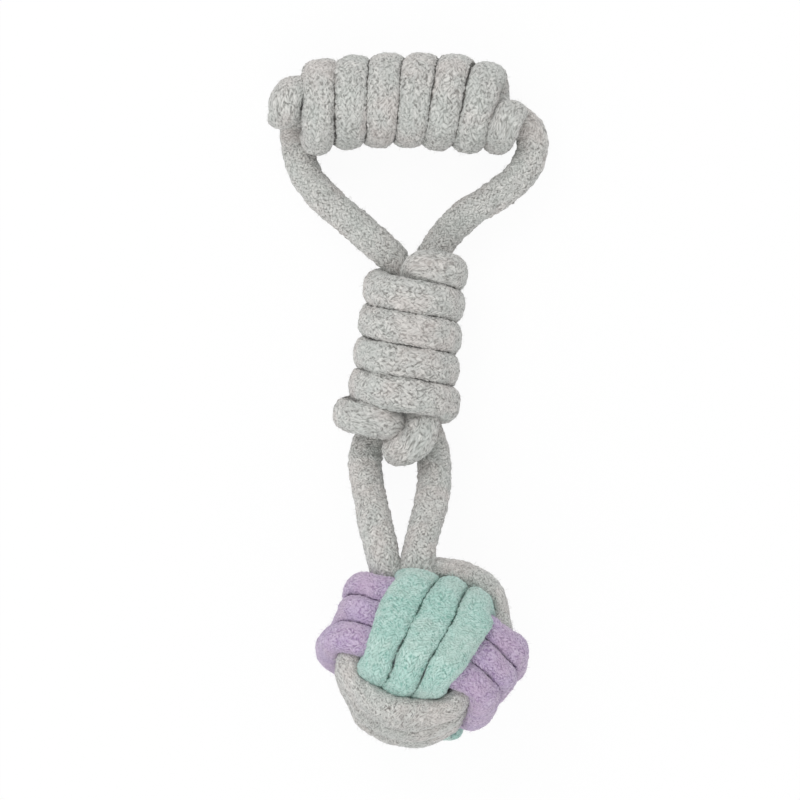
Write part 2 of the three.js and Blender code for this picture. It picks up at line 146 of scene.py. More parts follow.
def between(t, start, end, a, b):
    """a at the start and b at the end, and straight on between and beyond."""
    return (end - t) / (end - start) * a + (t - start) / (end - start) * b


def spline(points):
    """A centripetal Catmull-Rom line through the points."""
    p = np.array(points, float)
    p = np.vstack([2 * p[0] - p[1], p, 2 * p[-1] - p[-2]])
    out = []
    for i in range(1, len(p) - 2):
        p0, p1, p2, p3 = p[i - 1 : i + 3]
        t0 = 0.0
        t1 = t0 + math.sqrt(np.linalg.norm(p1 - p0))
        t2 = t1 + math.sqrt(np.linalg.norm(p2 - p1))
        t3 = t2 + math.sqrt(np.linalg.norm(p3 - p2))
        t = np.linspace(t1, t2, PER_SPAN, endpoint=False)[:, None]
        a1 = between(t, t0, t1, p0, p1)
        a2 = between(t, t1, t2, p1, p2)
        a3 = between(t, t2, t3, p2, p3)
        b1 = between(t, t0, t2, a1, a2)
        b2 = between(t, t1, t3, a2, a3)
        out.append(between(t, t1, t2, b1, b2))
    out.append(p[-2:-1])
    return np.vstack(out)


def lengths(points):
    """The way from the first point to each, along them."""
    steps = np.linalg.norm(np.diff(points, axis=0), axis=1)
    return np.concatenate([[0], np.cumsum(steps)])


def resample(line):
    """The line's values at even steps along it, and the steps' places."""
    along = lengths(line["at"])
    count = max(2, int(round(along[-1] / STEP)))
    even = np.linspace(0, along[-1], count + 1)
    made = {}
    for key, values in line.items():
        values = np.asarray(values, float)
        if values.ndim == 1:
            made[key] = np.interp(even, along, values)
        else:
            columns = [np.interp(even, along, column) for column in values.T]
            made[key] = np.stack(columns, 1)
    return made, even


def soften(values, reach):
    """A moving mean along the rope, reach steps each way, with the ends kept."""
    padded = np.concatenate([values[:1].repeat(reach, 0), values, values[-1:].repeat(reach, 0)])
    total = np.cumsum(np.concatenate([padded[:1] * 0, padded]), axis=0)
    width = 2 * reach + 1
    mean = (total[width:] - total[:-width]) / width
    ends = np.minimum(np.arange(len(values)), np.arange(len(values))[::-1])
    share = np.clip(ends / reach, 0, 1)
    if values.ndim > 1:
        share = share[:, None]
    return mix(values, mean, share)


def wander(count, length, seed):
    """Slow random waves along the rope, between about -1 and 1."""
    rng = np.random.default_rng(seed)
    knots = rng.uniform(-1, 1, int(count * STEP / length) + 4)
    place = np.arange(count) * STEP / length
    low = place.astype(int)
    return mix(knots[low], knots[low + 1], ease(place - low))


# Rope mesh


def section(exponent):
    """Evenly spaced points and outward normals of a unit section, from its inner side."""
    angle = np.linspace(0, 2 * math.pi, SECTION_POINTS, endpoint=False) - math.pi / 2
    cos, sin = np.cos(angle), np.sin(angle)
    x = np.sign(cos) * np.abs(cos) ** (2 / exponent)
    y = np.sign(sin) * np.abs(sin) ** (2 / exponent)
    points = np.stack([x, y], 1)
    closed = np.vstack([points, points[:1]])
    along = lengths(closed)
    even = np.linspace(0, along[-1], SIDES, endpoint=False)
    points = np.stack([np.interp(even, along, closed[:, k]) for k in range(2)], 1)
    tangent = np.roll(points, -1, 0) - np.roll(points, 1, 0)
    return points, unit(np.stack([tangent[:, 1], -tangent[:, 0]], 1))


ROUND, ROUND_OUT = section(2)
PRESSED, PRESSED_OUT = section(PRESSED_EXPONENT)


def waves(even, length, seed):
    """A slow random value at each mesh point, between about -1 and 1, that closes round the rope."""
    rng = np.random.default_rng(seed)
    grid = rng.uniform(-1, 1, (int(even[-1] / length) + 3, WAVES_AROUND))
    row = (even / length)[:, None] + np.zeros(SIDES)
    side = (np.arange(SIDES) * WAVES_AROUND / SIDES)[None] + np.zeros((len(even), 1))
    low_row = row.astype(int)
    low_side = side.astype(int)
    next_side = (low_side + 1) % WAVES_AROUND
    side_share = ease(side - low_side)
    before = mix(grid[low_row, low_side], grid[low_row, next_side], side_share)
    after = mix(grid[low_row + 1, low_side], grid[low_row + 1, next_side], side_share)
    return mix(before, after, ease(row - low_row))


def stitches(along, column, seed):
    """How far each mesh point stands out: chains of slanted stitches, no two quite alike."""
    rng = np.random.default_rng(seed)
    whole = np.floor(column)
    across = column - whole
    odd = whole % 2
    run = along / STITCH + (1 - 2 * odd) * across * SLANT + odd * 0.5
    index = np.floor(run)
    table = rng.uniform(*STITCH_SIZES, (COLUMNS, int(index.max() - index.min()) + 1))
    own = table[whole.astype(int) % COLUMNS, (index - index.min()).astype(int)]
    height = np.sin(math.pi * (run - index)) ** STITCH_SWELL
    return LIFT * (own * height * mix(STITCH_EDGE, 1, np.sin(math.pi * across)) - STITCH_SINK)


def fibres(skin, normals, seed):
    """Loose fibres on the rope's skin, as ribbons of three pairs of points."""
    rng = np.random.default_rng(seed)
    count = len(skin) // FIBRE_EVERY
    root = rng.choice(len(skin), count, replace=False)
    base, out = skin[root], normals[root]
    lean = unit(np.cross(out, rng.normal(size=(count, 3))))
    aside = np.cross(out, lean)
    long = rng.uniform(*FIBRE_LENGTHS, (count, 1))
    rise = rng.uniform(*FIBRE_RISES, (count, 1))
    curl = rng.uniform(-FIBRE_CURL, FIBRE_CURL, (count, 1))
    start = base - FIBRE_ROOT * out
    middle = base + long * (0.5 * lean + FIBRE_BOW * rise * out)
    tip = base + long * (lean + rise * out + curl * aside)
    wide = aside * FIBRE / 2
    pairs = [start - wide, start + wide, middle - wide, middle + wide, tip - wide / 2, tip + wide / 2]
    points = np.stack(pairs, 1).reshape(-1, 3)
    first = np.arange(count)[:, None] * len(pairs)
    quads = np.concatenate([first + [0, 1, 3, 2], first + [2, 3, 5, 4]])
    return points, quads


def tube_faces(count):
    """The faces between so many rings, and one on each end."""
    side = np.arange(SIDES)
    beside = (side + 1) % SIDES
    ring = np.arange(count - 1)[:, None] * SIDES
    quads = np.stack([ring + side, ring + beside, ring + beside + SIDES, ring + side + SIDES], -1)
    ends = [side[::-1], (count - 1) * SIDES + side]
    return quads.reshape(-1, 4).tolist() + [end.tolist() for end in ends]


def braid_map(along, column, fibre_quads):
    """Each face corner's place in the braid, for the rope's pattern. Ends and fibres have none."""
    around = [np.hstack([along, along[:, :1]]), np.hstack([column, column[:, :1] + COLUMNS])]
    corners = [
        np.stack([grid[:-1, :-1], grid[:-1, 1:], grid[1:, 1:], grid[1:, :-1]], -1).reshape(-1)
        for grid in around
    ]
    plain = np.zeros((2 * SIDES + 4 * fibre_quads, 2)) + [0.0, 0.5]
    return np.vstack([np.stack(corners, 1), plain])


SHEET_EDGE = 0.01  # left bare at each end of a strip
STRIP_EDGE = 0.02  # left bare at each side of a strip, as a share of its width
TOP_ROW = 0.2  # of a strip's width, for the ends and the fibres
SPOT = 0.07  # of a strip's width, for each end's radius and for each fibre
CAPS_U, FIBRE_U = (0.2, 0.5), 0.8  # where in that row the two ends and the fibres lie


def bake_map(even, fibre_quads):
    """An even sheet for baking: the rope cut into strips, and a row for its ends and fibres."""
    side = np.arange(SIDES)
    spans = len(even) - 1
    u = np.stack([even[:-1], even[:-1], even[1:], even[1:]], 1)[:, None].repeat(SIDES, 1)
    v = np.stack([side, side + 1, side + 1, side], 1)[None].repeat(spans, 0)
    u, v = u.reshape(-1), v.reshape(-1) / SIDES
    strips = max(1, int(round(math.sqrt(even[-1] / (math.pi * ROPE)))))
    per_strip = int(math.ceil(spans / strips))
    strip = (np.arange(spans) // per_strip)[:, None].repeat(SIDES * 4, 1).reshape(-1)
    long = per_strip * (even[1] - even[0])
    u = (u - strip * long) / long
    tall = strips + TOP_ROW
    skin_u = SHEET_EDGE + (1 - 2 * SHEET_EDGE) * u
    skin_v = (strip + STRIP_EDGE + (1 - 2 * STRIP_EDGE) * v) / tall
    turn = side / SIDES * 2 * math.pi
    spot = SPOT / tall
    row = (strips + TOP_ROW / 2) / tall
    cap = np.stack([np.cos(turn), np.sin(turn)], 1) * spot
    caps = [cap + [x, row] for x in CAPS_U]
    square = [[0, 0], [spot, 0], [spot, spot], [0, spot]]
    fibre = np.tile(square, (fibre_quads, 1)) + [FIBRE_U, row]
    return np.vstack([np.stack([skin_u, skin_v], 1), *caps, fibre])


def rope_mesh(name, line, seed, shape=None):
    """A rope along the line, and its centre line in metres."""
    rings, even = resample(line)
    at = rings["at"]
    count = len(at)
    tangent = unit(np.gradient(at, axis=0))
    across = rings["across"]
    across = unit(across - (across * tangent).sum(1, keepdims=True) * tangent)
    out = np.cross(tangent, across)
    press = rings["press"][:, None, None]
    points = mix(ROUND[None], PRESSED[None], press)
    normals = unit(mix(ROUND_OUT[None], PRESSED_OUT[None], press))
    size = rings["half"] * (1 + UNEVEN * wander(count, UNEVEN_LENGTH, seed))[:, None]
    # The stitches' own places, which stray a little from an even braid. Each kind of random value
    # has a seed of its own.
    along = even[:, None] + ASTRAY * waves(even, ASTRAY_LENGTH, seed + 100)
    column = np.arange(SIDES) * COLUMNS / SIDES + ASIDE * waves(even, ASIDE_LENGTH, seed + 200)
    lift = stitches(along, column, seed + 300) + LUMPS * waves(even, LUMPS_LENGTH, seed + 500)
    flat = points * size[:, None, :] + lift[:, :, None] * normals
    at = at + SWAY * wander(count, SWAY_LENGTH, seed + 400)[:, None] * across
    skin = at[:, None] + flat[..., :1] * across[:, None] + flat[..., 1:] * out[:, None]
    skin = skin.reshape(-1, 3)
    if shape is not None:
        skin, at = shape(skin), shape(at)
    skin = skin + ORIGIN
    centre = at + ORIGIN
    spokes = skin.reshape(count, SIDES, 3) - centre[:, None]
    hairs, hair_quads = fibres(skin, unit(spokes).reshape(-1, 3), seed)
    vertices = np.vstack([skin, hairs])
    vertices[:, 2] = np.maximum(vertices[:, 2], FLOOR_GAP)
    faces = tube_faces(count) + (hair_quads + len(skin)).tolist()
    mesh = bpy.data.meshes.new(name)
    mesh.from_pydata((vertices * MM).tolist(), [], faces)
    maps = {"Rope": braid_map(along, column, len(hair_quads)), "OFBake": bake_map(even, len(hair_quads))}
    for title, values in maps.items():
        layer = mesh.uv_layers.new(name=title)
        layer.uv.foreach_set("vector", values.astype(np.float32).ravel())
    # Painted seam shade, darker towards each side of the rope that presses a neighbour
    pressed_shade = np.where(points[..., 0] < 0, rings["seam_shades"][:, :1], rings["seam_shades"][:, 1:])
    seam_shade = (smooth(SEAM_SHADE_FROM, SEAM_SHADE_FULL, np.abs(points[..., 0])) * pressed_shade).reshape(-1)
    seam_shade = np.concatenate([seam_shade, np.full(len(hairs), FIBRE_MARK)])
    layer = mesh.attributes.new("seam_shade", "FLOAT", "POINT")
    layer.data.foreach_set("value", seam_shade.astype(np.float32))
    mesh.polygons.foreach_set("use_smooth", np.ones(len(mesh.polygons), bool))
    mesh.update()
    return add_object(name, mesh), centre * MM


# Grip

GRIP_MIDDLE = np.array([-3.5, 119.6])
PITCH = 12.7  # from one turn to the next
FULL_TURNS = 6
GRIP_POINTS = 361
GRIP_TURNS = (-0.25, FULL_TURNS + 1.25)  # where its rope starts and ends
# The pitch is halved up to the first of these, and from the second on, past the full turns
CLOSE_BEFORE, CLOSE_AFTER = 0.2, 0.9
BOW_RADIUS = 210.0  # of the curve that the grip's axis follows, highest in the middle
GRIP_RADIUS = 13.0
GRIP_THICK = 12.2
GRIP_HEIGHT = GRIP_RADIUS + GRIP_THICK / 2 - FLOOR_PRESS
FIRST_RADIUS = GRIP_RADIUS - 0.5
GROWTH = 0.8  # of that radius, up to the last turns
SHEAR = 0.9  # by which a turn stands straighter than an even winding would
OUTER_ROUNDER = 0.4  # of the outermost turns' section, which nothing presses on one side
OUTER_DROP = 0.5  # of the outermost turns, down the toy
LAST_DROP, LAST_RISE = 1.0, 3.2  # of the last turn: further down, and back up before its end
# The rope's ends: a lump at the left, and one at the right that is tucked lower
LUMP_RADIUS, LUMP_THICK = 5.1, 9.2
TUCK_RADIUS, TUCK_THICK = 5.6, 9.8
END_WIDTH = 12.4
END_PRESS = 0.3
LUMP_OUT, LUMP_SHIFT, LUMP_RISE = 2.0, 3.5, 8.2  # outwards, up the toy, and off the floor
TUCK_DROP, TUCK_RISE = 5.6, 9.6  # down the toy, and off the floor
LUMP_TILT = 2.3  # of the lump's side up the toy, inwards
LUMP_TAIL, TUCK_TAIL = 10.6, 2.6  # by which the rope runs on, down into the grip
# The turns over which each change comes about
LUMP_TURNS = (0.2, 0.62)
TUCK_TURNS = (FULL_TURNS + 0.74, FULL_TURNS + 1)
INWARD_TURNS = (0.7, 1.3)
OUTWARD_TURNS = (FULL_TURNS - 0.1, FULL_TURNS + 0.4)
GROWTH_TURNS = (1, FULL_TURNS - 0.5)
SHEAR_TURNS = (0.9, 1.7)
DROP_TURNS = (FULL_TURNS - 0.2, FULL_TURNS + 0.2)
RISE_TURNS = (FULL_TURNS + 0.45, FULL_TURNS + 0.7)
# The turns over which the painted seam shade on each side comes and goes, where a turn presses its
# neighbour
LEFT_SHADE_TURNS = (1.2, 1.7)
RIGHT_SHADE_TURNS = (FULL_TURNS - 0.6, FULL_TURNS - 0.3)


def grip_axis(turn):
    early = np.maximum(0, CLOSE_BEFORE - turn)
    late = np.maximum(0, turn - FULL_TURNS - CLOSE_AFTER)
    paced = turn + early / 2 - late / 2
    x = GRIP_MIDDLE[0] + PITCH * (paced - (FULL_TURNS + 1) / 2)
    return np.stack([x, np.full_like(x, GRIP_MIDDLE[1]), np.full_like(x, GRIP_HEIGHT)], 1)


def bowed(points):
    """Bends what lies along the straight axis to the grip's bow."""
    x, y, z = points.T
    angle = (x - GRIP_MIDDLE[0]) / BOW_RADIUS
    reach = BOW_RADIUS + y - GRIP_MIDDLE[1]
    middle = GRIP_MIDDLE - [0, BOW_RADIUS]
    return np.stack([middle[0] + reach * np.sin(angle), middle[1] + reach * np.cos(angle), z], 1)


def with_ends(values):
    """The first and the last value once more, for the two points that the rope's tails add."""
    return np.concatenate([values[:1], values, values[-1:]])


def grip_line():
    turn = np.linspace(*GRIP_TURNS, GRIP_POINTS)
    lump = 1 - smooth(*LUMP_TURNS, turn)
    tuck = smooth(*TUCK_TURNS, turn)
    outer = 1 - smooth(*INWARD_TURNS, turn) * (1 - smooth(*OUTWARD_TURNS, turn))
    radius = FIRST_RADIUS + GROWTH * smooth(*GROWTH_TURNS, turn)
    bend = mix(mix(radius, LUMP_RADIUS, lump), TUCK_RADIUS, tuck)
    thick = mix(mix(GRIP_THICK, LUMP_THICK, lump), TUCK_THICK, tuck)
    width = mix(mix(mix(TURN_WIDTH, ROPE, outer), END_WIDTH, lump), END_WIDTH, tuck)
    press = mix(mix(1 - OUTER_ROUNDER * outer, END_PRESS, lump), END_PRESS, tuck)
    angle = 2 * math.pi * turn
    at = grip_axis(turn)
    at[:, 0] -= LUMP_OUT * lump
    at[:, 1] += LUMP_SHIFT * lump - TUCK_DROP * tuck
    at[:, 2] += LUMP_RISE * lump + TUCK_RISE * tuck
    at[:, 0] -= SHEAR * np.sin(angle) * smooth(*SHEAR_TURNS, turn) * (1 - tuck)
    at[:, 0] += LUMP_TILT * np.maximum(0, np.sin(angle)) * lump
    at[:, 1] += bend * np.sin(angle)
    at[:, 2] += bend * np.cos(angle)
    last = smooth(*DROP_TURNS, turn)
    rise = smooth(*RISE_TURNS, turn)
    at[:, 1] -= (OUTER_DROP + LAST_DROP * last - LAST_RISE * rise) * outer * (1 - lump) * (1 - tuck)
    at = np.vstack([at[:1] - UP * LUMP_TAIL, at, at[-1:] - UP * TUCK_TAIL])
    # Painted seam shade on each side that presses a neighbouring turn
    left = smooth(*LEFT_SHADE_TURNS, turn) * (1 - tuck)
    right = (1 - lump) * (1 - smooth(*RIGHT_SHADE_TURNS, turn))
    return {
        "at": at,
        "across": np.zeros_like(at) + [1, 0, 0],
        "half": with_ends(np.stack([width, thick], 1)) / 2,
        "press": with_ends(press),
        "seam_shades": with_ends(np.stack([left, right], 1)),
    }


# Knot

KNOT_FIRST = np.array([2.4, 40.9])  # the middle of its first full turn, in plan
LEAN = math.radians(6.5)  # of its axis
ROW_LEAN = math.radians(1.4)  # of what runs across it
KNOT_PITCH = 12.9
KNOT_THICK = 12.4
KNOT_WIDE, KNOT_DEEP = 14.2, 18.8  # from the knot's axis to the coil's line, across and upwards
WIDENING = 0.45  # each turn after the first
KNOT_POINTS = 240
KNOT_HEAD, KNOT_LAST = 0.12, 4.86  # where the coil starts and ends, in turns
KNOT_LOOSE = 20.4  # the same, across, where the last turn stands off
LAST_LIFT = 1.3  # of the last turn, up the toy
KNOT_SLIM = 0.45  # off half the width of the head and of the last turn
LOOSE_ROUNDER = 0.6  # of the last turn's section, which nothing presses
KNOT_SEAM_SHADE = 0.75  # of the painted shade line between the turns
HEAD_PRESS, TAIL_PRESS = 0.3, 0.2
TAIL_RADIUS, TAIL = 6.8, 11.5  # of the bend after the last turn, and the straight part's length
TAIL_POINTS = 16
KNOT_SOFTEN = 7  # points each way, over which its size and its press change softly
# The turns over which each change comes about
LOOSE_TURNS = (KNOT_LAST - 0.86, KNOT_LAST - 0.1)
LIFT_TURNS = (KNOT_LAST - 0.5, KNOT_LAST - 0.1)
# The turns over which the painted seam shade comes and goes, on the sides that press the turns above and
# below
ABOVE_SHADE_TURNS = (1.2, 1.7)
BELOW_SHADE_TURNS = (3.3, 3.7)
# The shares of the head's or the bight's length over which its rope grows and turns to face outwards
HEAD_GROWS, HEAD_FACES = (0.4, 1), (0.4, 0.9)
BIGHT_GROWS, BIGHT_FACES = (0.35, 0.62), (0.6, 1)
BIGHT_FACED = 0.4  # of the way from across the knot to along it
BIGHT_PRESS = 0.1
KNOT_HEIGHT = KNOT_DEEP + KNOT_THICK / 2 - FLOOR_PRESS
KNOT_ACROSS = np.array([math.cos(ROW_LEAN), -math.sin(ROW_LEAN), 0.0])
KNOT_ALONG = np.array([-math.sin(LEAN), -math.cos(LEAN), 0.0])
STRAND = np.array([5.4, 3.6])  # half the size of what is squeezed inside the coil
BIGHT_SIZE = 13.6  # across the bight once it is out of the coil
# Middle lines in the knot's own places: the coil's start at the top, and the bight
HEAD = [[0, 9.9, 7.5], [0, 2.5, 7.5], [0, -5, 7.5], [-0.6, -9.8, 10.6], [1.8, -12.6, 15.3]]
BIGHT = [
    [0, 10.8, 7.5],
    [0, 24, 7.5],
    [0, 36, 7.5],
    [3, 41, 6.6],
    [6.8, 45.6, 6.4],
    [8.8, 50.4, 8.4],
    [8.8, 54.6, 11],
    [6.6, 58.2, 11.6],
    [2.8, 60.4, 9],
    [-0.6, 60.4, 4.6],
]


def in_knot(points):
    """From places across, along and off the knot's axis."""
    points = np.atleast_2d(np.array(points, float))
    base = np.array([*KNOT_FIRST, KNOT_HEIGHT])
    return base + points[:, :1] * KNOT_ACROSS + points[:, 1:2] * KNOT_ALONG + points[:, 2:] * UP


def knot_line():
    turn = np.linspace(KNOT_HEAD, KNOT_LAST, KNOT_POINTS)
    loose = smooth(*LOOSE_TURNS, turn)
    angle = 2 * math.pi * turn
    wide = KNOT_WIDE + WIDENING * np.maximum(0, turn - 1)
    across = mix(wide, KNOT_LOOSE, loose) * np.sin(angle)
    along = KNOT_PITCH * (turn - 1) - LAST_LIFT * smooth(*LIFT_TURNS, turn)
    coil = in_knot(np.stack([across, along, KNOT_DEEP * np.cos(angle)], 1))
    # The head runs smoothly into the coil's first points
    head = spline(np.vstack([in_knot(HEAD), coil[:1], coil[4:5]]))[: PER_SPAN * len(HEAD)]
    # The end turns down in an arc
    down = -UP
    heading = unit(coil[-1] - coil[-2])
    swing = math.acos(float(heading @ down))
    axis = unit(np.cross(heading, down))
    centre = coil[-1] + np.cross(axis, heading) * TAIL_RADIUS
    spoke = coil[-1] - centre
    turned = np.linspace(0, swing, TAIL_POINTS)[1:, None]
    bend = centre + spoke * np.cos(turned) + np.cross(axis, spoke) * np.sin(turned)
    tail = np.vstack([bend, bend[-1:] + down * TAIL])

    def along_it(in_head, in_coil, in_tail):
        parts = ((head, in_head), (coil, in_coil), (tail, in_tail))
        return np.concatenate([np.zeros(len(part)) + values for part, values in parts])

    free = np.linspace(0, 1, len(head))
    grown = along_it(smooth(*HEAD_GROWS, free), 1, 1)
    faced = along_it(smooth(*HEAD_FACES, free), 1, 1)
    half = mix(STRAND, np.array([TURN_WIDTH, KNOT_THICK]) / 2, grown[:, None])
    half[:, 0] -= KNOT_SLIM * soften(along_it(1, loose, 1) * grown, KNOT_SOFTEN)
    press = along_it(HEAD_PRESS, 1 - LOOSE_ROUNDER * loose, TAIL_PRESS)
    # Painted seam shade where the coil's turns press each other
    above = along_it(0, smooth(*ABOVE_SHADE_TURNS, turn), 0)
    below = along_it(0, 1 - smooth(*BELOW_SHADE_TURNS, turn), 0)
    return {
        "at": np.vstack([head, coil, tail]),
        "across": mix(KNOT_ACROSS, KNOT_ALONG, faced[:, None]),
        "half": half,
        "press": soften(press, KNOT_SOFTEN),
        "seam_shades": np.stack([above, below], 1) * KNOT_SEAM_SHADE,
    }


def bight_line():
    at = spline(in_knot(BIGHT))
    share = lengths(at) / lengths(at)[-1]
    free = smooth(*BIGHT_GROWS, share)[:, None]
    faced = (smooth(*BIGHT_FACES, share) * BIGHT_FACED)[:, None]
    return {
        "at": at,
        "across": mix(KNOT_ACROSS, KNOT_ALONG, faced),
        "half": mix(STRAND, np.full(2, BIGHT_SIZE / 2), free),
        "press": np.full(len(at), BIGHT_PRESS),
        "seam_shades": np.zeros((len(at), 2)),
    }


# Free rope: the middle lines of the four stretches, from the knot outwards

UPPER_LEFT = [
    [-2.5, 51.5, 21.4],
    [-5.2, 55.6, 21.4],
    [-10.8, 60.8, 21.6],
    [-18.7, 68.2, 21.4],
    [-31.2, 78.6, 17.6],
    [-39.2, 87.8, 13],
    [-42.6, 95.6, 9.6],
    [-44, 103, 7.9],
    [-44.8, 109.6, 8.6],
    [-43.8, 114.2, 12],
    [-40.6, 115.8, 16.2],
]
UPPER_RIGHT = [
    [8, 53, 19.6],
    [11.2, 59.6, 16.8],
    [15.7, 66.1, 16.2],
    [24.9, 74.8, 17],
    [35.8, 82.1, 17.8],
    [44.2, 88.6, 17.8],
    [49, 96.6, 17.8],
    [49.8, 104.4, 17.8],
    [46.9, 109.6, 17.8],
    [42.2, 112.2, 17.8],
    [36.8, 113.2, 17.8],
]
LOWER_LEFT = [
    [-8.4, -7.4, 17.6],
    [-12.4, -12.2, 17.2],
    [-15.6, -18, 17.6],
    [-16.8, -25, 19.8],
    [-16.1, -33, 24.2],
    [-14.6, -41, 30],
    [-12.6, -50, 37],
    [-10.8, -58, 41.6],
    [-9, -65, 44],
    [-6.8, -72, 44.4],
    [-4.4, -79, 43],
]
LOWER_RIGHT = [
    [4.6, -8, 17.6],
    [7, -13, 17.2],
    [9.4, -19, 17.8],
    [10.6, -26, 20.4],
    [10.5, -34, 25],
    [9.2, -42, 31],
    [7, -50, 37.6],
    [5, -58, 42.6],
    [4, -65, 45.4],
    [3.6, -72, 46],
    [4, -79, 44.6],
]
CORE = 4.1  # the two strands in the knot, each side of its axis
CORE_DEPTH = -2.8
CORE_HALF = np.array([3.6, 5.6])  # half the size of a strand in the knot
CORE_POINTS = 4
ABOVE, BELOW = 23.5, 22.5  # where the strands are parted inside the knot, along the toy
BORE_TOP, BORE_BOTTOM = 47, -1  # where they come out of it
SWELLING = 12  # the length over which a strand that comes out grows to its full size


def free_line(points, side, bore, core_turns, size):
    """Out of the knot's bore, along the points, and on through the grip where it has turns."""
    bore = (KNOT_FIRST[1] - np.linspace(*bore, CORE_POINTS)) / math.cos(LEAN)
    start = in_knot([[side * CORE, along, CORE_DEPTH] for along in bore])
    parts = [start, np.array(points, float)]
    if len(core_turns):
        parts.append(bowed(grip_axis(core_turns)))
    at = spline(np.vstack(parts))
    distance = np.linalg.norm(at - start[-1], axis=1)
    inside = np.arange(len(at)) < PER_SPAN * len(start)
    free = np.where(inside, 0, smooth(0, SWELLING, distance))
    across = np.zeros_like(at) + KNOT_ACROSS
    tangent = unit(np.gradient(at, axis=0))
    # Carried along without twisting
    across[0] = unit(across[0] - across[0] @ tangent[0] * tangent[0])
    for i in range(1, len(at)):
        across[i] = unit(across[i - 1] - across[i - 1] @ tangent[i] * tangent[i])
    return {
        "at": at,
        "across": across,
        "half": mix(CORE_HALF, np.full(2, size / 2), free[:, None]),
        "press": np.zeros(len(at)),
        "seam_shades": np.zeros((len(at), 2)),
    }


# Ball

# The even weave is laid round a cube first. Its bands have room for the strands, which are fuller
# and press into each other.
LANE = 14.4  # from the middle of one strand to the next in its band
BAND_WIDTH = 13.0
BAND_THICK = 9.4
BAND_GAP = 0.3
UNDER = LANE + BAND_WIDTH / 2 + BAND_GAP + BAND_THICK / 2  # from the ball's middle to the lower bands
OVER = UNDER + BAND_THICK + BAND_GAP
OUTER = OVER + BAND_THICK / 2
STRAND_WIDTH, STRAND_THICK = 15.8, 11.2
BEND_WIDTH, BEND_THICK = 13.4, 11.0
STRAND_PRESS, BEND_PRESS = 0.9, 0.15
CORNER = 9.8  # the radius of a strand's line where it dives
CORNER_STEPS = 12
CORNER_SOFTEN = 5  # steps each way, over which a dive's line and size change softly
BAND_TAIL = 12  # of a band's ends under its neighbours
ROUNDNESS = 0.65  # 0 leaves the weave a cube, 1 makes it a ball
SQUEEZE = 0.907  # of the ball, along the toy
TIP = np.array([1.8, 11.8])  # from the ball's middle to that of its front band, in plan
STRANDS_TURN = math.radians(67)  # of the mint strands from the toy's right, in plan
# Where the hand-tied strands lie off the even weave: a place in plan, and the shift there
EASED = np.array(
    [
        [-3, -72, -3.6, 0], [-8.6, -80.8, -2.4, 0], [-16.6, -96, -0.4, 0], [-21, -108.8, 2, 2.8],
        [-13, -116, 0.4, 2.8], [12.2, -70, 0.4, -1.6], [5.4, -80, 0, 0], [-1.8, -96, 0, 0],
        [-9.8, -114.4, 1.6, -0.4], [23.4, -75.2, 0.8, -0.8], [16.2, -86.4, 3.2, -0.8],
        [10.2, -97.2, 2.8, 0], [5.4, -108.8, 1.2, 0], [1, -118.8, 2.4, 2],
        [33.8, -81.6, 0.2, -2.4], [28.6, -94, 3.6, 0], [23.8, -102.8, 3.6, 0],
        [19, -110.8, 3.2, 0.4], [15.4, -121.2, -0.8, 5.6], [9, -124, 0.8, 6.4],
        [-26.6, -76, 1.2, 0.6], [-32.6, -84, 5.6, -0.8], [-35.8, -96, -0.6, 0], [-34.2, -106, 0.2, 0],
        [-27.4, -100.8, 0, -2.8], [-30.6, -112.8, 4.0, 0], [-28.6, -123.2, 6.2, 1.4],
        [-22.2, -130.8, 2.4, 0], [-9, -137.2, 1.0, -0.6], [3, -139.6, 0, 1.2],
        [17, -136, -3.2, 1.6], [26.2, -123.2, -3.6, 0], [21.8, -118.8, -1.2, 1.2],
        [32.6, -84.8, 1.2, -2.6], [30.2, -89, 3, 0], [37, -99.2, 0, -2], [43, -105.6, -1.2, -2.6],
        [31, -108.8, -0.4, -0.4], [38.2, -116, -2.8, 0], [48.2, -100, 0, 0],
        [40.2, -121.6, -5.4, 0], [29.8, -131.2, -5.4, -1.2], [11.4, -62.4, 0.8, -2.4],
        [19, -65.2, 0, 1.6], [27, -67.6, 0.4, 1.6], [41, -80, -3.2, 0], [42.2, -88.8, -3, 0],
        [-22, -71.5, 0, 1.8], [36.5, -74, 0.8, 0.8], [46, -94, 1.4, 1.4],
    ]
)
EASE_REACH = 5.5
EASE_FROM, EASE_FULL = -26, -8  # heights over the ball's middle between which the easing sets in
EASE_REST = 0.3  # the weight of no shift at all, against that of the places near by
EASE_BATCH = 20000  # points at a time
# Where the mint rope alone lies further off: a place in plan, its reach, the shift there, and the
# heights over the ball's middle between which it sets in
MINT_PUSHES = [
    [16, -126, 9.0, 4.6, -7.6, -6, -14],  # the lowest turn, which shows under the grey rope
    [31.5, -89, 4.6, 2.4, 0, 0, 8],
    [35.5, -82.5, 3.5, -0.8, 0.4, 0, 8],
]


def ball_axes():
    """The weave's three directions: along the strands in front, across them, and to the front."""
    front = unit(np.array([*TIP, math.sqrt(OVER**2 - TIP @ TIP)]))
    strands = np.array([math.cos(STRANDS_TURN), math.sin(STRANDS_TURN), 0.0])
    strands = unit(strands - front * (front @ strands))
    return np.stack([strands, np.cross(strands, front), front])


BALL_AXES = ball_axes()


